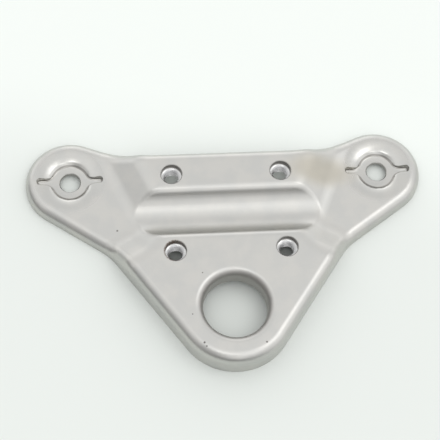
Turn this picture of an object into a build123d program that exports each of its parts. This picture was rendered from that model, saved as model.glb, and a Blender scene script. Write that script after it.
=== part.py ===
from build123d import *
from math import atan2, cos, degrees, radians, sin, sqrt, tan
import os

# Pressed upper fork bridge: a sheet-steel plate that ties two fork legs to the steering stem.
# Millimetres. Origin on the stem axis at the lower end of the stem collar, +X to the right
# fork leg, +Y from the stem towards the fork legs, +Z up.

# Plan of the plate
FORK_PITCH = 130.0
FORK_LINE_Y = 61.0
BOSS_R = 18.6
TIP_R = 24.2
FRONT_EDGE_Y = 69.6
FRONT_SWEEP_DEG = 22.0
FRONT_BLEND_R = 45.0
ARM_EDGE_DEG = 34.5
FLANK_DEG = 54.6
FLANK_BLEND_R = 25.0

# Pressed section
SHEET_T = 2.5
CROWN_H = 12.5
ARM_H = 5.5
SHOULDER_R = 4.6
FRONT_RIM_H = 5.5
FRONT_RIM_W = 58.0
FRONT_RIM_CORNER_R = 3.0

# Step from the raised crown down to each arm
STEP_TIP_Y = 39.5
STEP_RUN = 12.0
STEP_FOOT_R = 6.0
STEP_FRONT_DEG = 23.0
STEP_REAR_DEG = 28.0
STEP_FOOT_FILLET = 12.0
STEP_CREST_FILLET = 12.0
STEP_NUT_GAP = 0.5

# Handlebar saddle between the clamp bolts
BAR_D = 22.0
BAR_Y = 41.4
SADDLE_DEPTH = 6.5
SADDLE_EDGE_R = 4.0

# Flanged stem hole
STEM_BORE_D = 26.0
STEM_LIP_R = 3.5
COLLAR_DEPTH = 8.0

# Dished fork seats with a coined recess for the tab washer of each fork bolt
FORK_HOLE_D = 8.5
SEAT_R = 14.0
SEAT_DEPTH = 1.5
WASHER_R = 7.7
COIN_DEPTH = 0.8
COIN_DRAFT_DEG = 15.0
COIN_BEVEL_W = 0.7
COIN_BEVEL_H = 0.3
COIN_RIM_DEG = 45.0
LUG_SPAN = 26.6
LUG_W = 2.2
LUG_BLEND_R = 4.0
LUG_END_R = 0.9
LUG_WALL = 1.6

# Handlebar clamp bolts and the weld nuts under them
CLAMP_SPACING_X = 45.5
CLAMP_HOLE_D = 8.7
HOLE_CHAMFER = 0.3
NUT_SIDES = 6
NUT_AF = 11.0
NUT_H = 5.0
NUT_BORE_D = 6.0
NUT_BORE_CHAMFER = 0.35
NUT_CORNER = 0.6
NUT_CHAMFER_DEG = 30.0
NUT_SEAT_GAP = 0.05

# Working values
REACH = 200.0
OVERRUN = 2.0
TOUCH = 0.01
on_floor = (Align.CENTER, Align.CENTER, Align.MIN)
bar_r = BAR_D / 2
step_deg = degrees(atan2(CROWN_H - ARM_H, STEP_RUN))
saddle_half_w = sqrt((bar_r + SADDLE_EDGE_R) ** 2 - (bar_r - SADDLE_DEPTH + SADDLE_EDGE_R) ** 2)
nut_seat_r = NUT_AF / 2 - NUT_CORNER
nut_corner_r = NUT_AF / (2 * cos(radians(180 / NUT_SIDES)))
nut_bevel = (nut_corner_r - nut_seat_r) * tan(radians(NUT_CHAMFER_DEG))
clamp_spacing_y = 2 * (saddle_half_w + nut_seat_r + NUT_SEAT_GAP)
crest_r = STEP_FOOT_R + STEP_RUN + STEP_CREST_FILLET * tan(radians(step_deg / 2))
nut_to_step_y = STEP_TIP_Y - BAR_Y + clamp_spacing_y / 2
nut_to_step_x = sqrt((crest_r + nut_seat_r + STEP_NUT_GAP) ** 2 - nut_to_step_y ** 2)
foot_centre = Vector(CLAMP_SPACING_X / 2 + nut_to_step_x, STEP_TIP_Y)
crown_z = COLLAR_DEPTH
crown_under_z = crown_z - SHEET_T
rim_z = crown_z - CROWN_H
arm_z = rim_z + ARM_H
saddle_z = crown_z - SADDLE_DEPTH
front_rim_z = crown_z - FRONT_RIM_H
trim_low_z = rim_z - OVERRUN
trim_high_x = FRONT_RIM_W / 2
trim_low_x = trim_high_x + (front_rim_z - trim_low_z) / tan(radians(step_deg))
seat_z = arm_z - SEAT_DEPTH
coin_z = seat_z - COIN_DEPTH
seat_under_z = seat_z - SHEET_T
stem_r = STEM_BORE_D / 2
fork_hole_r = FORK_HOLE_D / 2


def rings(builder, radius, height):
    """Circular edges of one radius at one height."""
    circles = builder.edges().filter_by(GeomType.CIRCLE)
    level = circles.filter_by(lambda e: abs((e @ 0.5).Z - height) < TOUCH)
    return level.filter_by(lambda e: abs(e.radius - radius) < TOUCH)


def polar(radius, angle):
    """Vector of a length at an angle in degrees from +X."""
    return Vector(radius * cos(radians(angle)), radius * sin(radians(angle)))


def crossing(point_a, angle_a, point_b, angle_b):
    """Where two lines cross, each given by a point and an angle in degrees."""
    da, db = polar(1, angle_a), polar(1, angle_b)
    gap = point_b - point_a
    along = (gap.X * db.Y - gap.Y * db.X) / (da.X * db.Y - da.Y * db.X)
    return point_a + da * along


def outline(inset):
    """Plan outline of the plate, set in from the outer skin."""
    fork = Vector(FORK_PITCH / 2, FORK_LINE_Y)
    boss_r, tip_r = BOSS_R - inset, TIP_R - inset
    front_y = FRONT_EDGE_Y - inset
    brow = fork + polar(boss_r, 90 + FRONT_SWEEP_DEG)
    armpit = fork + polar(boss_r, ARM_EDGE_DEG - 90)
    flank = polar(tip_r, FLANK_DEG - 90)
    front_corner = crossing(Vector(0, front_y), 0, brow, FRONT_SWEEP_DEG)
    rear_corner = crossing(armpit, ARM_EDGE_DEG, flank, FLANK_DEG)
    front_back = (FRONT_BLEND_R + inset) * tan(radians(FRONT_SWEEP_DEG / 2))
    rear_back = (FLANK_BLEND_R + inset) * tan(radians((FLANK_DEG - ARM_EDGE_DEG) / 2))
    front_in = front_corner - Vector(front_back, 0)
    front_out = front_corner + polar(front_back, FRONT_SWEEP_DEG)
    rear_out = rear_corner + polar(rear_back, ARM_EDGE_DEG)
    rear_in = rear_corner - polar(rear_back, FLANK_DEG)
    with BuildSketch() as plan:
        with BuildLine():
            Line((0, front_y), front_in)
            TangentArc(front_in, front_out, tangent=(1, 0))
            Line(front_out, brow)
            CenterArc(fork, boss_r, 90 + FRONT_SWEEP_DEG, ARM_EDGE_DEG - FRONT_SWEEP_DEG - 180)
            Line(armpit, rear_out)
            TangentArc(rear_out, rear_in, tangent=-polar(1, ARM_EDGE_DEG))
            Line(rear_in, flank)
            CenterArc((0, 0), tip_r, FLANK_DEG - 90, -FLANK_DEG)
            mirror(about=Plane.YZ)
        make_face()
    return plan.sketch


def step_plan(radius, height):
    """Plan of the low area round one arm: two flaring lines with a round end towards the crown."""
    front = foot_centre + polar(radius, 180 - STEP_FRONT_DEG)
    rear = foot_centre + polar(radius, 270 - STEP_REAR_DEG)
    front_far = front + polar(REACH, 90 - STEP_FRONT_DEG)
    rear_far = rear + polar(REACH, -STEP_REAR_DEG)
    sweep = 90 + STEP_FRONT_DEG - STEP_REAR_DEG
    with BuildSketch(Plane.XY.offset(height)) as plan:
        with BuildLine():
            Line(front_far, front)
            CenterArc(foot_centre, radius, 180 - STEP_FRONT_DEG, sweep)
            Line(rear, rear_far)
            Line(rear_far, front_far)
        make_face()
    return plan.sketch


def arm_tool(inset):
    """Cutting tool that lowers one arm from the crown's level, with its foot rounded."""
    foot_r = STEP_FOOT_R + inset * tan(radians(step_deg / 2))
    floor_z = arm_z - inset
    top_z = crown_z - inset + OVERRUN
    top_r = foot_r + (top_z - floor_z) / tan(radians(step_deg))
    with BuildPart() as tool:
        loft([step_plan(foot_r, floor_z), step_plan(top_r, top_z)], ruled=True)
        foot = tool.edges().group_by(Axis.Z)[0].sort_by(Axis.X)[:3]
        fillet(foot, STEP_FOOT_FILLET + inset)
    return tool.part


def seat_tool():
    """Cutting tool for one round dish, rolling over from the arm's level to the washer bed."""
    rim = Plane(origin=(0, 0, arm_z), x_dir=(1, 0, 0), z_dir=(0, -1, 0))
    with BuildPart() as tool:
        with BuildSketch(rim):
            with BuildLine():
                Line((0, OVERRUN), (0, -SEAT_DEPTH))
                Line((0, -SEAT_DEPTH), (WASHER_R, -SEAT_DEPTH))
                TangentArc((SEAT_R, 0), (WASHER_R, -SEAT_DEPTH), tangent=(-1, 0))
                Line((SEAT_R, 0), (SEAT_R, OVERRUN))
                Line((SEAT_R, OVERRUN), (0, OVERRUN))
            make_face()
        revolve(axis=Axis.Z)
    return tool.part


def recess_plan(margin, height):
    """Plan of the coined recess: a round washer bed with two lugs in line with the forks."""
    with BuildSketch(Plane.XY.offset(height)) as plan:
        Circle(WASHER_R + margin)
        Rectangle(LUG_SPAN + 2 * margin, LUG_W + 2 * margin)
        roots = plan.vertices().group_by(lambda v: round(abs(v.X)))[0]
        fillet(roots, LUG_BLEND_R - margin)
        ends = plan.vertices().group_by(lambda v: round(abs(v.X)))[-1]
        fillet(ends, LUG_END_R + margin)
    return plan.sketch


def recess_tool():
    """Cutting tool for one coined recess: bevelled floor edge, steep lug walls and a flared round bed."""
    top_z, wall_z = arm_z + OVERRUN, coin_z + COIN_BEVEL_H
    wall_h = top_z - wall_z
    flare = wall_h * tan(radians(COIN_DRAFT_DEG))
    bed_r = WASHER_R + wall_h / tan(radians(COIN_RIM_DEG))
    floor, bevel_top = recess_plan(-COIN_BEVEL_W, coin_z), recess_plan(0.0, wall_z)
    with BuildPart() as tool:
        loft([floor, bevel_top, recess_plan(flare, top_z)], ruled=True)
        with Locations((0, 0, wall_z)):
            Cone(WASHER_R, bed_r, wall_h, align=on_floor)
    return tool.part


def pressed_form(inset):
    """Solid bounded by the pressed skin, set back by inset, down to the rim's lower edge."""
    plan = outline(inset)
    inner_plan = outline(inset + SHEET_T / 2).face()
    tool = arm_tool(inset)
    base_z = rim_z - OVERRUN if inset else rim_z

    def inside(edge):
        middle = edge @ 0.5
        return inner_plan.is_inside(Vector(middle.X, middle.Y))

    with BuildPart() as form:
        with BuildSketch(Plane.XY.offset(base_z)):
            add(plan)
        extrude(amount=crown_z - inset - base_z)
        add([tool, tool.mirror(Plane.YZ)], mode=Mode.SUBTRACT)
        crest = form.edges().group_by(Axis.Z)[-1].filter_by(inside)
        fillet(crest, STEP_CREST_FILLET - inset)
        with Locations((0, BAR_Y, saddle_z + bar_r)):
            Cylinder(bar_r + inset, REACH, rotation=(0, 90, 0), mode=Mode.SUBTRACT)
        saddle = form.faces().sort_by_distance((0, BAR_Y, saddle_z - inset))[0]
        fillet(saddle.edges(), SADDLE_EDGE_R - inset)
        rim = form.edges().filter_by(lambda e: not inside(e) and (e @ 0.5).Z > arm_z - inset - TOUCH)
        fillet(rim, SHOULDER_R - inset)
    return form.part


skin = pressed_form(0.0)
void = pressed_form(SHEET_T)
fork_places = GridLocations(FORK_PITCH, 0, 2, 1)
forks = [Location((0, FORK_LINE_Y, 0)) * place for place in fork_places]
dish, recess = seat_tool(), recess_tool()
recess_under = recess_plan(LUG_WALL, 0.0)

with BuildPart() as hollow:
    add(void)
    with Locations(*forks):
        with Locations((0, 0, seat_under_z)):
            Cone(WASHER_R, SEAT_R, SEAT_DEPTH, align=on_floor, mode=Mode.SUBTRACT)
    with BuildSketch(Plane.XY.offset(seat_under_z)):
        with Locations(*forks):
            add(recess_under)
    extrude(amount=SEAT_DEPTH + OVERRUN, mode=Mode.SUBTRACT)

with BuildPart() as bridge:
    add(skin)
    with Locations(*forks):
        add(dish, mode=Mode.SUBTRACT)
    add(hollow.part, mode=Mode.SUBTRACT)
    with Locations(*forks):
        add(recess, mode=Mode.SUBTRACT)
    with BuildSketch():
        Circle(stem_r + SHEET_T)
    extrude(amount=crown_under_z + SHEET_T / 2)
    with BuildSketch():
        Circle(stem_r)
    extrude(amount=crown_z + OVERRUN, mode=Mode.SUBTRACT)
    with BuildSketch(Plane.XZ.offset(SHEET_T + OVERRUN - FRONT_EDGE_Y)) as trim:
        with BuildLine():
            Polyline((-trim_low_x, trim_low_z), (-trim_high_x, front_rim_z), (trim_high_x, front_rim_z),
                     (trim_low_x, trim_low_z), close=True)
        make_face()
        fillet(trim.vertices().group_by(Axis.Y)[-1], FRONT_RIM_CORNER_R)
    extrude(amount=-REACH, mode=Mode.SUBTRACT)
    fillet(rings(bridge, stem_r, crown_z), STEM_LIP_R)
    chamfer(rings(bridge, stem_r + SHEET_T, crown_under_z), STEM_LIP_R - SHEET_T)
    with BuildSketch(Plane.XY.offset(rim_z)):
        with Locations((0, BAR_Y)):
            with GridLocations(CLAMP_SPACING_X, clamp_spacing_y, 2, 2):
                Circle(CLAMP_HOLE_D / 2)
        with Locations(*forks):
            Circle(fork_hole_r)
    extrude(amount=CROWN_H + OVERRUN, mode=Mode.SUBTRACT)
    chamfer(rings(bridge, CLAMP_HOLE_D / 2, crown_z), HOLE_CHAMFER)
    with Locations(*forks):
        with Locations((0, 0, coin_z - HOLE_CHAMFER)):
            Cone(fork_hole_r, fork_hole_r + HOLE_CHAMFER, HOLE_CHAMFER, align=on_floor, mode=Mode.SUBTRACT)

with BuildPart() as nut:
    with BuildSketch():
        RegularPolygon(NUT_AF / 2, NUT_SIDES, major_radius=False)
    extrude(amount=-NUT_H)
    with BuildSketch(Plane.XZ):
        with BuildLine():
            Polyline((0, 0), (nut_seat_r, 0), (nut_corner_r, -nut_bevel), (nut_corner_r, nut_bevel - NUT_H),
                     (nut_seat_r, -NUT_H), (0, -NUT_H), close=True)
        make_face()
    revolve(axis=Axis.Z, mode=Mode.INTERSECT)
    with BuildSketch():
        Circle(NUT_BORE_D / 2)
    extrude(amount=-NUT_H, mode=Mode.SUBTRACT)
    chamfer(nut.edges().filter_by(GeomType.CIRCLE).sort_by_distance((0, 0, 0))[:1], NUT_BORE_CHAMFER)

with BuildPart() as nuts:
    with Locations((0, BAR_Y, crown_under_z)):
        with GridLocations(CLAMP_SPACING_X, clamp_spacing_y, 2, 2):
            add(nut.part)

os.makedirs("parts", exist_ok=True)
bridge.part.label = "bridge_plate"
export_step(bridge.part, "parts/bridge_plate.step")
nuts.part.label = "clamp_weld_nuts"
export_step(nuts.part, "parts/clamp_weld_nuts.step")
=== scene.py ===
"""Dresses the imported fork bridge: satin plating, weld nuts, tabletop, soft room and camera."""
import logging
from dataclasses import dataclass, field
from enum import Enum
from functools import reduce
from math import cos, pi, radians, sin, tan
from typing import Any, Dict, Tuple, Union

import bpy
from mathutils import Matrix, Vector


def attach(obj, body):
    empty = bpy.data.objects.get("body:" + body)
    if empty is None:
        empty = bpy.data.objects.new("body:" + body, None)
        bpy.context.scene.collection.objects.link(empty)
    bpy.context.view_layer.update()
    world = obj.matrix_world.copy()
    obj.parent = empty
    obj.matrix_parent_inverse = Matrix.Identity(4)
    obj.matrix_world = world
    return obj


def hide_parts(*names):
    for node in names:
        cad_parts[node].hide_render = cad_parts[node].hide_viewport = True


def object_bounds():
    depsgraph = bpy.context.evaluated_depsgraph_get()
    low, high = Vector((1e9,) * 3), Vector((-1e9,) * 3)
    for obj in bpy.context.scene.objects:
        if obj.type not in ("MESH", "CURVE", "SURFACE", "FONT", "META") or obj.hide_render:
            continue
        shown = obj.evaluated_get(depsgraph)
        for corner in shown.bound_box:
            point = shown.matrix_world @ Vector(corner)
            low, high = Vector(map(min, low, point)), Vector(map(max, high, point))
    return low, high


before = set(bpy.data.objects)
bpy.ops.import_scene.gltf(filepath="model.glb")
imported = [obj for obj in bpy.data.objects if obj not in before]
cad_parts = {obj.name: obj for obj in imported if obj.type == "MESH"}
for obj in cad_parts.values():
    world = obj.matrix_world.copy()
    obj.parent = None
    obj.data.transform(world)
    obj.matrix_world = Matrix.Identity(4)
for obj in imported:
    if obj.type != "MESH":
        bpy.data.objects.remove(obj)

LOG = logging.getLogger("fork_bridge")
CAD_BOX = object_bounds()
MM = 0.001
NOISE_MEAN = 0.5

Colour = Tuple[float, float, float]
Band = Tuple[float, float]
Value = Union["Wire", float]
Settings = Dict[str, Any]
Sockets = Dict[Union[str, int], Any]


class Node(str, Enum):
    """CAD nodes that the scene dresses."""

    PLATE = "bridge_plate"
    NUTS = "clamp_weld_nuts"


class Slot(str, Enum):
    """Material slots of the record."""

    SHEET = "plated_sheet"
    NUTS = "plated_nuts"


class MixSocket(int, Enum):
    """Places of a Mix node's sockets when it mixes colours."""

    SHARE = 0
    FIRST = 6
    SECOND = 7
    RESULT = 2


class Wire:
    """One socket in a node tree, with Python's arithmetic on it."""

    def __init__(self, graph: "Graph", socket: bpy.types.NodeSocket) -> None:
        """Hold the socket and the tree that it belongs to."""
        self.graph = graph
        self.socket = socket

    def _math(self, operation: str, first: Value, second: Value = 0.0) -> "Wire":
        """Add one Math node.

        Args:
            operation: the Math node's operation.
            first: value or wire of its first socket.
            second: value or wire of its second socket.

        Returns:
            The node's result.
        """
        return self.graph.wire("ShaderNodeMath", {"operation": operation}, {0: first, 1: second})

    def __add__(self, other: Value) -> "Wire":
        """Sum."""
        return self._math("ADD", self, other)

    def __radd__(self, other: Value) -> "Wire":
        """Sum, with this wire on the right."""
        return self._math("ADD", other, self)

    def __sub__(self, other: Value) -> "Wire":
        """Difference."""
        return self._math("SUBTRACT", self, other)

    def __rsub__(self, other: Value) -> "Wire":
        """Difference, with this wire on the right."""
        return self._math("SUBTRACT", other, self)

    def __mul__(self, other: Value) -> "Wire":
        """Product."""
        return self._math("MULTIPLY", self, other)

    def __rmul__(self, other: Value) -> "Wire":
        """Product, with this wire on the right."""
        return self._math("MULTIPLY", other, self)

    def __truediv__(self, other: Value) -> "Wire":
        """Quotient."""
        return self._math("DIVIDE", self, other)

    def __rtruediv__(self, other: Value) -> "Wire":
        """Quotient, with this wire on the right."""
        return self._math("DIVIDE", other, self)

    def __pow__(self, other: Value) -> "Wire":
        """Power."""
        return self._math("POWER", self, other)

    def __rpow__(self, other: Value) -> "Wire":
        """Power, with this wire on the right."""
        return self._math("POWER", other, self)

    def root(self) -> "Wire":
        """Square root."""
        return self._math("SQRT", self)

    def sign(self) -> "Wire":
        """One with the sign of this wire."""
        return self._math("SIGN", self)

    def larger(self, other: Value) -> "Wire":
        """The larger of two values."""
        return self._math("MAXIMUM", self, other)

    def ease(self, low: float, high: float, start: float = 0.0, end: float = 1.0) -> "Wire":
        """Smooth step from start at low to end at high.

        Args:
            low: this wire's value where the step starts; it may be the larger one.
            high: this wire's value where the step ends.
            start: result at and before low.
            end: result at and after high.

        Returns:
            The eased value.
        """
        if low > high:
            low, high, start, end = high, low, end, start
        settings = {"interpolation_type": "SMOOTHSTEP", "clamp": True}
        sockets = {"Value": self, "From Min": low, "From Max": high,
                   "To Min": start, "To Max": end}
        return self.graph.wire("ShaderNodeMapRange", settings, sockets)


@dataclass(frozen=True)
class Cloud:
    """A noise pattern: cells in each millimetre, octaves, and how strong the finer ones are."""

    scale: float
    detail: float = 2.0
    fine: float = 0.5


class Graph:
    """A node tree that is filled by small calls."""

    def __init__(self, tree: bpy.types.NodeTree) -> None:
        """Empty the tree and keep it."""
        self.tree = tree
        tree.nodes.clear()

    def node(self, kind: str, settings: Settings, sockets: Sockets) -> bpy.types.Node:
        """Add one node.

        Args:
            kind: the node's type.
            settings: properties of the node, set first.
            sockets: values or links of its inputs, by name or number.

        Returns:
            The new node.
        """
        made = self.tree.nodes.new(kind)
        for name, value in settings.items():
            setattr(made, name, value)
        for key, value in sockets.items():
            self._feed(made.inputs[key], value)
        return made

    def wire(self, kind: str, settings: Settings, sockets: Sockets,
             output: Union[str, int] = 0) -> Wire:
        """Add one node and hand back one of its outputs.

        Args:
            kind: the node's type.
            settings: properties of the node.
            sockets: values or links of its inputs.
            output: name or number of the output.

        Returns:
            The output as a wire.
        """
        return Wire(self, self.node(kind, settings, sockets).outputs[output])

    def mix(self, share: Value, first: Any, second: Any) -> Wire:
        """Mix two colours.

        Args:
            share: how much of the second colour shows.
            first: colour or wire.
            second: colour or wire.

        Returns:
            The mixed colour.
        """
        sockets = {MixSocket.SHARE.value: share, MixSocket.FIRST.value: first,
                   MixSocket.SECOND.value: second}
        return self.wire("ShaderNodeMix", {"data_type": "RGBA"}, sockets, MixSocket.RESULT.value)

    def noise(self, place: Wire, cloud: Cloud) -> Wire:
        """Noise between 0 and 1.

        Args:
            place: coordinates in millimetres.
            cloud: the pattern.

        Returns:
            The noise's value.
        """
        sockets = {"Vector": place, "Scale": cloud.scale, "Detail": cloud.detail,
                   "Roughness": cloud.fine}
        return self.wire("ShaderNodeTexNoise", {}, sockets)

    def bump(self, height: Wire, strength: float, depth: float) -> Wire:
        """A normal that follows a height.

        Args:
            height: the height, about 0 to 1.
            strength: how much of it shows.
            depth: what a height of 1 stands for, in metres.

        Returns:
            The normal.
        """
        sockets = {"Strength": strength, "Distance": depth, "Height": height}
        return self.wire("ShaderNodeBump", {}, sockets)

    def surface(self, sockets: Sockets) -> None:
        """Close a material with its shader and output.

        Args:
            sockets: values or links of the shader's inputs.
        """
        shader = self.wire("ShaderNodeBsdfPrincipled", {}, sockets)
        self.node("ShaderNodeOutputMaterial", {}, {"Surface": shader})

    def _feed(self, socket: bpy.types.NodeSocket, value: Any) -> None:
        """Link a wire or set a plain value.

        Args:
            socket: the input.
            value: a wire, a number, a vector or a colour.
        """
        if isinstance(value, Wire):
            self.tree.links.new(value.socket, socket)
        elif socket.type == "RGBA":
            socket.default_value = (*value, 1.0)
        else:
            socket.default_value = value


def new_material(name: str) -> Tuple[bpy.types.Material, Graph]:
    """Make a material with an empty tree.

    Args:
        name: the material's name.

    Returns:
        The material and its tree.
    """
    material = bpy.data.materials.new(name)
    material.use_nodes = True
    return material, Graph(material.node_tree)


def distance(across: Wire, along: Wire) -> Wire:
    """Length of a plan offset."""
    return (across * across + along * along).root()


class Place:
    """Object coordinates in millimetres, whole and along each axis."""

    def __init__(self, graph: Graph) -> None:
        """Add the coordinates to a material's tree."""
        raw = graph.wire("ShaderNodeTexCoord", {}, {}, "Object")
        sockets = {0: raw, 1: (1 / MM, 1 / MM, 1 / MM)}
        self.whole = graph.wire("ShaderNodeVectorMath", {"operation": "MULTIPLY"}, sockets)
        split = graph.node("ShaderNodeSeparateXYZ", {}, {0: self.whole})
        self.x, self.y, self.z = (Wire(graph, socket) for socket in split.outputs)


@dataclass(frozen=True)
class Spot:
    """A round mark on the plate, in millimetres in plan."""

    x: float
    y: float
    radius: float

    def disc(self, place: Place, core: float) -> Wire:
        """A soft disc in plan.

        Args:
            place: the material's coordinates.
            core: share of the radius that has full strength.

        Returns:
            The disc's strength between 0 and 1.
        """
        reach = distance(place.x - self.x, place.y - self.y)
        return reach.ease(self.radius, self.radius * core)


@dataclass(frozen=True)
class BridgePlan:
    """Places and levels of the bridge that its marks refer to, in millimetres."""

    clamp_x: float = 22.75
    clamp_y: float = 17.31
    bar_y: float = 41.4
    clamp_hole_r: float = 4.35
    nut_bore_r: float = 3.0
    nut_low_z: float = 0.5
    nut_high_z: float = 5.5
    fork_x: float = 65.0
    fork_y: float = 61.0
    fork_hole_r: float = 4.25
    stem_r: float = 13.0
    rim_z: float = -4.5
    bed_z: float = -1.3
    seat_z: float = -0.5
    crown_z: float = 8.0

    def from_clamp(self, place: Place) -> Wire:
        """Distance from the nearest clamp bolt's axis."""
        along = place.y - self.bar_y
        across = place.x - place.x.sign() * self.clamp_x
        return distance(across, along - along.sign() * self.clamp_y)

    def from_fork(self, place: Place) -> Wire:
        """Distance from the nearest fork bolt's axis."""
        return distance(place.x - place.x.sign() * self.fork_x, place.y - self.fork_y)

    def from_stem(self, place: Place) -> Wire:
        """Distance from the stem's axis."""
        return distance(place.x, place.y)


@dataclass(frozen=True)
class WearAndShade:
    """What one mark does to the plating where it is strongest; some marks are real wear, others
    painted shade.

    Share is how much of its colour shows, rough is the roughness that it adds, and film is how
    much of the metal it hides.
    """

    colour: Colour
    share: float = 1.0
    rough: float = 0.0
    film: float = 0.0


@dataclass(frozen=True)
class StainMark:
    """A faint beige film on the right arm, wider than it is long.

    Offsets from its middle are scaled by wide across the plate and by low along it.
    """

    plan: BridgePlan = BridgePlan()
    middle: Spot = Spot(40.0, 59.8, 10.5)
    wide: float = 0.52
    low: float = 1.10
    core: float = 0.30
    cloud: Cloud = Cloud(0.10, 1.0)
    cloud_band: Band = (-0.20, 0.45)
    fade: float = 4.0

    def mask(self, graph: Graph, place: Place) -> Wire:
        """The film's strength between 0 and 1.

        Args:
            graph: the material's tree.
            place: its coordinates.

        Returns:
            The strength.
        """
        across = (place.x - self.middle.x) * self.wide
        along = (place.y - self.middle.y) * self.low
        radius = self.middle.radius
        reach = distance(across, along).ease(radius, radius * self.core)
        patchy = graph.noise(place.whole, self.cloud).ease(*self.cloud_band)
        return reach * patchy * place.z.ease(self.plan.rim_z, self.plan.rim_z + self.fade)


@dataclass(frozen=True)
class RustMark:
    """Rust at the edge of the left rear clamp hole, strongest on one side."""

    plan: BridgePlan = BridgePlan()
    side_deg: float = 165.0
    ring: Band = (0.75, 0.05)
    side_band: Band = (-0.9, 0.6)
    far_side: float = 0.12
    cloud: Cloud = Cloud(1.6, 3.0)
    cloud_band: Band = (0.25, 0.60)
    depth: Band = (4.0, 2.0)

    def mask(self, graph: Graph, place: Place) -> Wire:
        """The rust's strength between 0 and 1.

        Args:
            graph: the material's tree.
            place: its coordinates.

        Returns:
            The strength.
        """
        plan = self.plan
        east = place.x + plan.clamp_x
        north = place.y - (plan.bar_y - plan.clamp_y)
        reach = distance(east, north)
        edge = reach.ease(*(plan.clamp_hole_r + gap for gap in self.ring))
        way = radians(self.side_deg)
        turn = (east * cos(way) + north * sin(way)) / reach
        side = turn.ease(*self.side_band, self.far_side, 1.0)
        patchy = graph.noise(place.whole, self.cloud).ease(*self.cloud_band)
        return edge * side * patchy * place.z.ease(*(plan.crown_z - down for down in self.depth))


@dataclass(frozen=True)
class PitMarks:
    """Small dark pits in the upper face."""

    plan: BridgePlan = BridgePlan()
    spots: Tuple[Spot, ...] = (
        Spot(-46.0, 37.0, 0.55), Spot(-34.5, -0.7, 0.40), Spot(-13.5, -15.5, 0.60),
        Spot(-12.7, -17.0, 0.45), Spot(11.0, -16.5, 0.55), Spot(-17.5, -3.5, 0.40),
        Spot(-12.5, 14.0, 0.40),
    )
    core: float = 0.3
    above_rim: Band = (4.6, 5.2)

    def mask(self, place: Place) -> Wire:
        """The pits' strength between 0 and 1.

        Args:
            place: the material's coordinates.

        Returns:
            The strength.
        """
        pits = reduce(Wire.larger, [spot.disc(place, self.core) for spot in self.spots])
        return pits * place.z.ease(*(self.plan.rim_z + up for up in self.above_rim))


@dataclass(frozen=True)
class PaintedShadeMarks:
    """Painted shade along the rim's lower edge, mottled, and on the low walls of the washer beds.
    """

    plan: BridgePlan = BridgePlan()
    rim_height: float = 1.6
    rim_share: float = 0.35
    bed_share: float = 0.8
    bed_outside: Band = (14.6, 14.2)
    bed_inside: Band = (5.0, 5.4)
    above_bed: Band = (0.02, 0.14)
    below_seat: float = 0.15

    def mask(self, place: Place, patchy: Wire) -> Wire:
        """The grime's strength between 0 and 1.

        Args:
            place: the material's coordinates.
            patchy: the plating's mottling.

        Returns:
            The strength.
        """
        plan = self.plan
        # Painted shade: darker towards the rim's lower edge, next to the floor.
        rim = place.z.ease(plan.rim_z + self.rim_height, plan.rim_z) * patchy * self.rim_share
        reach = plan.from_fork(place)
        near = reach.ease(*self.bed_outside) * reach.ease(*self.bed_inside)
        wall = place.z.ease(*(plan.bed_z + up for up in self.above_bed))
        wall = wall * place.z.ease(plan.seat_z, plan.seat_z - self.below_seat)
        return rim.larger(near * wall * self.bed_share)


@dataclass(frozen=True)
class CutEdgeAndWallShade:
    """Bare cut edges in the punched holes, darkened further as painted shade, and painted shade on
    the stem bore's wall; all are dull.
    """

    plan: BridgePlan = BridgePlan()
    skin: Band = (0.10, 0.02)
    clamp_edge: float = 0.25
    stem_skin: Band = (2.6, 1.0)
    stem_shade: float = 0.75

    def mask(self, place: Place) -> Wire:
        """The bare walls' strength between 0 and 1.

        Args:
            place: the material's coordinates.

        Returns:
            The strength.
        """
        plan = self.plan
        clamp = plan.from_clamp(place).ease(*(plan.clamp_hole_r + gap for gap in self.skin))
        clamp = clamp * place.z.ease(plan.crown_z, plan.crown_z - self.clamp_edge)
        fork = plan.from_fork(place).ease(*(plan.fork_hole_r + gap for gap in self.skin))
        # The stem bore's wall is painted shade only.
        stem = plan.from_stem(place).ease(*(plan.stem_r + gap for gap in self.stem_skin))
        return clamp.larger(fork).larger(stem * self.stem_shade)


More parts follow.
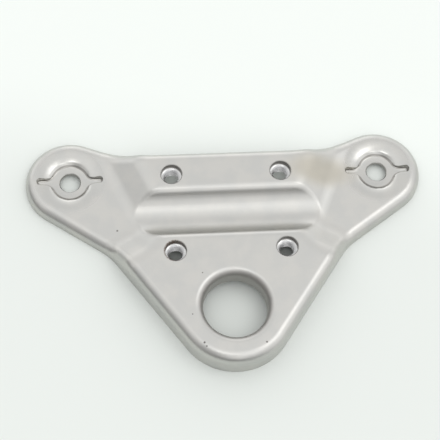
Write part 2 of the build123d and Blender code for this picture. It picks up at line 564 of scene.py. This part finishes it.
@dataclass(frozen=True)
class PlatedSheetFinish:
    """Satin zinc plate on pressed sheet: fine grain, pale mottling, its marks of wear, and painted
    shade on the rim's lower edge, in the washer beds and in the hole and bore walls.
    """

    plan: BridgePlan = BridgePlan()
    plate: Colour = (0.580, 0.573, 0.547)
    plate_cool: Colour = (0.548, 0.547, 0.528)
    stain: WearAndShade = WearAndShade((0.480, 0.437, 0.345), share=0.50, rough=0.25, film=0.15)
    # Painted shade along the rim's lower edge and on the washer beds' walls.
    painted_shade: WearAndShade = WearAndShade((0.300, 0.290, 0.270))
    # Bare cut edges in the holes, darkened as painted shade; the stem bore's wall is painted
    # shade.
    cut: WearAndShade = WearAndShade((0.390, 0.378, 0.360), rough=0.20)
    rust: WearAndShade = WearAndShade((0.135, 0.092, 0.065), rough=0.45, film=0.9)
    pit: WearAndShade = WearAndShade((0.150, 0.140, 0.130), rough=0.30, film=0.6)
    mottle: Cloud = Cloud(0.12, 3.0)
    mottle_band: Band = (0.35, 0.65)
    grain: Cloud = Cloud(2.6, 2.0, 0.6)
    scratch: Cloud = Cloud(1.0, 3.0, 0.6)
    scratch_stretch: Tuple[float, float, float] = (0.25, 3.0, 3.0)
    roughness: float = 0.33
    grain_rough: float = 0.10
    mottle_rough: float = 0.06
    seat_polish: float = 0.14
    seat_band: Band = (16.0, 13.0)
    grain_height: float = 0.6
    scratch_height: float = 0.4
    pit_height: float = -6.0
    rust_height: float = 3.0
    bump: float = 0.06
    bump_depth: float = 0.1 * MM

    def build(self) -> bpy.types.Material:
        """Make the material.

        Returns:
            The plated sheet's material.
        """
        material, graph = new_material("satin_zinc_plate")
        place = Place(graph)
        mottle = graph.noise(place.whole, self.mottle)
        grain = graph.noise(place.whole, self.grain)
        patchy = mottle.ease(*self.mottle_band)
        rust = RustMark().mask(graph, place)
        pit = PitMarks().mask(place)
        layers = (
            (StainMark().mask(graph, place), self.stain),
            # Painted shade along the rim's lower edge and in the washer beds.
            (PaintedShadeMarks().mask(place, patchy), self.painted_shade),
            # Bare cut edges and painted shade in the hole and bore walls.
            (CutEdgeAndWallShade().mask(place), self.cut),
            (rust, self.rust),
            (pit, self.pit),
        )
        colour = graph.mix(patchy, self.plate, self.plate_cool)
        rough = (grain - NOISE_MEAN) * self.grain_rough + (mottle - NOISE_MEAN) * self.mottle_rough
        rough = rough + self.roughness - self._seats(place) * self.seat_polish
        # The layers mix in real wear and painted shade.
        for mask, wear_and_shade in layers:
            colour = graph.mix(mask * wear_and_shade.share, colour, wear_and_shade.colour)
            rough = rough + mask * wear_and_shade.rough
        hidden = reduce(Wire.larger, [mask * wear_and_shade.film for mask, wear_and_shade in layers])
        height = grain * self.grain_height + self._scratches(graph, place) * self.scratch_height
        height = height + pit * self.pit_height + rust * grain * self.rust_height
        graph.surface({
            "Base Color": colour, "Roughness": rough, "Metallic": 1.0 - hidden,
            "Normal": graph.bump(height, self.bump, self.bump_depth),
        })
        return material

    def _seats(self, place: Place) -> Wire:
        """The fork seats, which are smoother than the rest."""
        return self.plan.from_fork(place).ease(*self.seat_band)

    def _scratches(self, graph: Graph, place: Place) -> Wire:
        """Fine scratches that run across the plate.

        Args:
            graph: the material's tree.
            place: its coordinates.

        Returns:
            The scratches' height between 0 and 1.
        """
        sockets = {0: place.whole, 1: self.scratch_stretch}
        stretched = graph.wire("ShaderNodeVectorMath", {"operation": "MULTIPLY"}, sockets)
        return graph.noise(stretched, self.scratch)


@dataclass(frozen=True)
class PlatedNutFinish:
    """Bright zinc on the weld nuts, worn to bare steel in the cut thread."""

    plan: BridgePlan = BridgePlan()
    bright: Colour = (0.610, 0.610, 0.602)
    dull: Colour = (0.500, 0.500, 0.494)
    cut_steel: Colour = (0.470, 0.470, 0.475)
    mottle: Cloud = Cloud(0.5, 3.0)
    dull_band: Band = (0.3, 0.7)
    bare_band: Band = (0.2, 0.6)
    thread_skin: Band = (0.65, 0.45)
    grain: Cloud = Cloud(3.0, 2.0)
    roughness: float = 0.16
    grain_rough: float = 0.12
    thread_rough: float = 0.06
    bump: float = 0.15
    bump_depth: float = 0.1 * MM

    def build(self) -> bpy.types.Material:
        """Make the material.

        Returns:
            The weld nuts' material.
        """
        material, graph = new_material("bright_zinc_nut")
        place = Place(graph)
        grain = graph.noise(place.whole, self.grain)
        mottle = graph.noise(place.whole, self.mottle)
        reach = self.plan.from_clamp(place)
        thread = reach.ease(*(self.plan.nut_bore_r + gap for gap in self.thread_skin))
        colour = graph.mix(mottle.ease(*self.dull_band), self.bright, self.dull)
        colour = graph.mix(thread * mottle.ease(*self.bare_band), colour, self.cut_steel)
        graph.surface({
            "Base Color": colour, "Metallic": 1.0,
            "Roughness": grain * self.grain_rough + thread * self.thread_rough + self.roughness,
            "Normal": graph.bump(grain, self.bump, self.bump_depth),
        })
        return material


@dataclass(frozen=True)
class PaleFloorFinish:
    """A plain pale tabletop with a faint green cast, with painted shade that darkens it towards
    the viewer.
    """

    far_colour: Colour = (0.857, 0.895, 0.861)
    near_shade_colour: Colour = (0.775, 0.809, 0.778)
    far_y: float = 105.0
    near_y: float = 35.0
    slant: float = 0.2
    roughness: float = 0.85
    gloss: float = 0.1

    def build(self) -> bpy.types.Material:
        """Make the material.

        Returns:
            The floor's material.
        """
        material, graph = new_material("pale_tabletop")
        place = Place(graph)
        # Painted shade: the floor's colour darkens towards the viewer and a little towards the
        # left.
        away = (place.y + place.x * self.slant).ease(self.near_y, self.far_y)
        graph.surface({
            "Base Color": graph.mix(away, self.near_shade_colour, self.far_colour),
            "Roughness": self.roughness, "Specular IOR Level": self.gloss,
        })
        return material


def pick_only(piece: bpy.types.Object) -> None:
    """Leave one object selected and active.

    Args:
        piece: the object.
    """
    bpy.ops.object.select_all(action="DESELECT")
    piece.select_set(True)
    bpy.context.view_layer.objects.active = piece


def apply_modifier(piece: bpy.types.Object, kind: str, settings: Settings) -> None:
    """Add a modifier, set it and apply it.

    Args:
        piece: the object.
        kind: the modifier's type.
        settings: its properties.
    """
    pick_only(piece)
    modifier = piece.modifiers.new(kind.lower(), kind)
    for name, value in settings.items():
        setattr(modifier, name, value)
    bpy.ops.object.modifier_apply(modifier=modifier.name)


@dataclass
class DressedNode:
    """A CAD node's merged copy, shaded smooth over its bends and sharp at its cut edges."""

    node: Node
    name: str
    slot: Slot
    merge_gap: float = 0.002 * MM
    crease_deg: float = 32.0

    def build(self, material: bpy.types.Material) -> bpy.types.Object:
        """Copy the node's mesh, merge its loose triangles and dress it.

        Args:
            material: the piece's finish.

        Returns:
            The piece that is shown for the node.
        """
        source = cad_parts[self.node.value]
        piece = bpy.data.objects.new(self.name, source.data.copy())
        bpy.context.scene.collection.objects.link(piece)
        pick_only(piece)
        bpy.ops.mesh.customdata_custom_splitnormals_clear()
        bpy.ops.object.mode_set(mode="EDIT")
        bpy.ops.mesh.select_all(action="SELECT")
        bpy.ops.mesh.remove_doubles(threshold=self.merge_gap)
        bpy.ops.object.mode_set(mode="OBJECT")
        self.shape(piece)
        pick_only(piece)
        bpy.ops.object.shade_smooth_by_angle(angle=radians(self.crease_deg))
        apply_modifier(piece, "WEIGHTED_NORMAL", {"mode": "FACE_AREA", "keep_sharp": True})
        piece.data.materials.clear()
        piece.data.materials.append(material)
        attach(piece, "root")
        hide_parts(self.node.value)
        return piece

    def shape(self, piece: bpy.types.Object) -> None:
        """Add the detail that the CAD solid leaves out; a plain node has none.

        Args:
            piece: the merged copy.
        """


@dataclass
class ThreadedNuts(DressedNode):
    """The four weld nuts, with the thread cut in each bore by a tap and a countersunk mouth."""

    plan: BridgePlan = BridgePlan()
    pitch: float = 1.0
    major_r: float = 3.5
    tap_core_r: float = 2.92
    root_flat: float = 0.125
    core_flat: float = 0.20
    turns: int = 8
    lead_in: float = 1.5
    tap_sides: int = 36
    tap_weld_gap: float = 0.001 * MM
    sink_r: float = 3.9
    sink_core_r: float = 2.85
    sink_deg: float = 30.0
    sink_over: float = 0.5
    sink_sides: int = 72

    def shape(self, piece: bpy.types.Object) -> None:
        """Cut the thread in each nut and countersink its mouth.

        Args:
            piece: the merged copy of the nuts.
        """
        self._cut_each(piece, self._model_tap())
        self._cut_each(piece, self._model_countersink())

    def _cut_each(self, piece: bpy.types.Object, tool: bpy.types.Object) -> None:
        """Cut all four nuts with copies of one tool, and put the tool away.

        Args:
            piece: the nuts.
            tool: a closed mesh that stands on the Z axis.
        """
        plan = self.plan
        for side in (-1.0, 1.0):
            for end in (-1.0, 1.0):
                pick_only(tool)
                bpy.ops.object.duplicate()
                copy = bpy.context.active_object
                way = Vector((side * plan.clamp_x, plan.bar_y + end * plan.clamp_y, 0.0)) * MM
                bpy.ops.transform.translate(value=way)
                cut = {"operation": "DIFFERENCE", "solver": "EXACT", "object": copy}
                apply_modifier(piece, "BOOLEAN", cut)
                bpy.data.objects.remove(copy)
        bpy.data.objects.remove(tool)

    def _model_countersink(self) -> bpy.types.Object:
        """Model the drill that opens the thread's mouth, standing on the Z axis.

        Returns:
            The drill.
        """
        rise = (self.sink_r - self.sink_core_r) * tan(radians(self.sink_deg))
        over = self.sink_over * tan(radians(self.sink_deg))
        middle = self.plan.nut_high_z + (over - rise) / 2
        bpy.ops.object.select_all(action="DESELECT")
        bpy.ops.mesh.primitive_cone_add(
            vertices=self.sink_sides, radius1=self.sink_core_r * MM,
            radius2=(self.sink_r + self.sink_over) * MM,
            depth=(rise + over) * MM, location=(0.0, 0.0, middle * MM))
        drill = bpy.context.active_object
        drill.name = "mouth_drill"
        bpy.ops.object.transform_apply(location=True, rotation=True, scale=True)
        return drill

    def _model_tap(self) -> bpy.types.Object:
        """Model the tap that cuts one thread, standing on the Z axis.

        Returns:
            The tap.
        """
        start_z = (self.plan.nut_low_z - self.lead_in) * MM
        flank = (self.pitch - self.root_flat - self.core_flat) / 2 * MM
        out = (self.major_r - self.tap_core_r) * MM
        core, root = self.core_flat * MM, self.root_flat * MM
        profile = ((0.0, core), (out, flank), (0.0, root), (-out, flank))
        bpy.ops.object.select_all(action="DESELECT")
        bpy.ops.mesh.primitive_plane_add(size=MM, location=(self.tap_core_r * MM, 0.0, start_z))
        tap = bpy.context.active_object
        tap.name = "thread_tap"
        bpy.ops.object.transform_apply(location=True, rotation=True, scale=True)
        bpy.ops.object.mode_set(mode="EDIT")
        bpy.ops.mesh.select_all(action="SELECT")
        bpy.ops.mesh.merge(type="CENTER")
        for outward, upward in profile:
            way = (outward, 0.0, upward)
            bpy.ops.mesh.extrude_region_move(TRANSFORM_OT_translate={"value": way})
        bpy.ops.object.mode_set(mode="OBJECT")
        apply_modifier(tap, "SCREW", {
            "axis": "Z", "angle": 2 * pi, "screw_offset": self.pitch * MM,
            "iterations": self.turns, "steps": self.tap_sides, "render_steps": self.tap_sides,
            "use_merge_vertices": True, "merge_threshold": self.tap_weld_gap,
            "use_normal_calculate": True,
        })
        self._cap_ends(tap)
        return tap

    def _cap_ends(self, tap: bpy.types.Object) -> None:
        """Close both open ends of the tap with flat faces beyond the nut.

        Args:
            tap: the open screw.
        """
        pick_only(tap)
        bpy.ops.object.mode_set(mode="EDIT")
        bpy.ops.mesh.select_all(action="SELECT")
        bpy.ops.mesh.remove_doubles(threshold=self.tap_weld_gap)
        bpy.ops.mesh.select_mode(type="EDGE")
        bpy.ops.mesh.select_all(action="DESELECT")
        bpy.ops.mesh.select_non_manifold()
        bpy.ops.mesh.fill_holes(sides=0)
        bpy.ops.mesh.select_all(action="SELECT")
        bpy.ops.mesh.normals_make_consistent(inside=False)
        bpy.ops.mesh.select_mode(type="VERT")
        bpy.ops.object.mode_set(mode="OBJECT")


def heading(azimuth_deg: float, elevation_deg: float) -> Vector:
    """Unit vector towards a place in the room.

    Args:
        azimuth_deg: angle from +Y towards +X.
        elevation_deg: angle above the floor.

    Returns:
        The vector.
    """
    az, el = radians(azimuth_deg), radians(elevation_deg)
    return Vector((sin(az) * cos(el), cos(az) * cos(el), sin(el)))


@dataclass(frozen=True)
class SkyPatch:
    """A soft bright area of the room round the part; azimuth runs from +Y towards +X."""

    name: str
    azimuth_deg: float
    elevation_deg: float
    level: float
    sharpness: float

    def glow(self, graph: Graph, way: Wire) -> Wire:
        """Light from this patch in one direction.

        Args:
            graph: the world's tree.
            way: direction that is looked in.

        Returns:
            The patch's level there.
        """
        settings = {"operation": "DOT_PRODUCT", "label": self.name}
        sockets = {0: way, 1: heading(self.azimuth_deg, self.elevation_deg)}
        facing = graph.wire("ShaderNodeVectorMath", settings, sockets, "Value")
        return facing.larger(0.0) ** self.sharpness * self.level


@dataclass
class Studio:
    """A pale tabletop in a soft room."""

    floor_size: float = 4.0
    floor_gap: float = 0.02 * MM
    patches: Tuple[SkyPatch, ...] = (
        SkyPatch("ceiling", 0.0, 90.0, 1.03, 6.0),
        SkyPatch("north_wall", 0.0, 30.0, 1.00, 4.0),
        SkyPatch("north_east_wall", 45.0, 25.0, 0.40, 4.0),
        SkyPatch("east_wall", 90.0, 28.0, 1.00, 4.0),
        SkyPatch("south_east_wall", 130.0, 27.0, 0.85, 5.0),
        SkyPatch("south_west_wall", 230.0, 27.0, 0.55, 5.0),
        SkyPatch("west_wall", 286.0, 45.0, 1.06, 6.0),
        SkyPatch("south_band", 178.0, 38.0, 1.20, 16.0),
        SkyPatch("low_north_west", 315.0, 12.0, 1.30, 16.0),
        SkyPatch("low_north", 0.0, 8.0, 1.25, 16.0),
        SkyPatch("low_north_east", 45.0, 5.0, 0.90, 16.0),
        SkyPatch("window", 88.0, 62.0, 2.10, 40.0),
        SkyPatch("lamp", 150.0, 60.0, 1.30, 60.0),
        SkyPatch("skylight", 206.0, 72.0, 2.30, 80.0),
    )

    def build(self, floor_z: float) -> None:
        """Add the floor and the room.

        Args:
            floor_z: height of the part's lowest edge.
        """
        self._add_floor(floor_z - self.floor_gap)
        self._light_room()

    def _add_floor(self, height: float) -> None:
        """Add the tabletop.

        Args:
            height: its level.
        """
        bpy.ops.object.select_all(action="DESELECT")
        bpy.ops.mesh.primitive_plane_add(size=self.floor_size, location=(0.0, 0.0, height))
        floor = bpy.context.active_object
        floor.name = "tabletop"
        bpy.ops.object.transform_apply(location=True, rotation=True, scale=True)
        floor.data.materials.append(PaleFloorFinish().build())

    def _light_room(self) -> None:
        """Light the world with the soft patches."""
        world = bpy.data.worlds.new("soft_room")
        bpy.context.scene.world = world
        world.use_nodes = True
        graph = Graph(world.node_tree)
        way = graph.wire("ShaderNodeTexCoord", {}, {}, "Generated")
        level = reduce(Wire.__add__, [patch.glow(graph, way) for patch in self.patches])
        light = graph.wire("ShaderNodeBackground", {}, {"Strength": level})
        graph.node("ShaderNodeOutputWorld", {}, {"Surface": light})


@dataclass
class PhotoCamera:
    """The photograph's camera, turned about the part and rolled a little."""

    target: Vector = field(default_factory=lambda: Vector((-3.61, 38.93, 3.5)) * MM)
    azimuth_deg: float = 9.986
    elevation_deg: float = 65.0
    roll_deg: float = 6.816
    distance: float = 0.540
    lens_mm: float = 107.11
    sensor_mm: float = 36.0
    near_clip: float = 0.01

    def build(self) -> bpy.types.Object:
        """Add the camera and make it the scene's own.

        Returns:
            The camera.
        """
        ahead = heading(self.azimuth_deg, -self.elevation_deg)
        az, roll = radians(self.azimuth_deg), radians(self.roll_deg)
        level = Vector((cos(az), -sin(az), 0.0))
        upward = level.cross(ahead)
        across = level * cos(roll) + upward * sin(roll)
        above = upward * cos(roll) - level * sin(roll)
        turn = Matrix((across, above, -ahead)).transposed()
        data = bpy.data.cameras.new("photo_camera")
        data.lens = self.lens_mm
        data.sensor_width = self.sensor_mm
        data.sensor_height = self.sensor_mm
        data.clip_start = self.near_clip
        camera = bpy.data.objects.new("photo_camera", data)
        bpy.context.scene.collection.objects.link(camera)
        stand = Matrix.Translation(self.target - ahead * self.distance)
        camera.matrix_world = stand @ turn.to_4x4()
        bpy.context.scene.camera = camera
        return camera


def main() -> None:
    """Build the pieces, the studio and the camera in order."""
    logging.basicConfig(level=logging.INFO)
    bpy.context.scene.view_settings.view_transform = "Standard"
    pieces = [
        DressedNode(Node.PLATE, "pressed_plate", Slot.SHEET).build(PlatedSheetFinish().build()),
        ThreadedNuts(Node.NUTS, "weld_nuts", Slot.NUTS).build(PlatedNutFinish().build()),
    ]
    for piece in pieces:
        LOG.info("%s: %d faces", piece.name, len(piece.data.polygons))
    Studio().build(CAD_BOX[0].z)
    PhotoCamera().build()


if __name__ == "__main__":
    main()
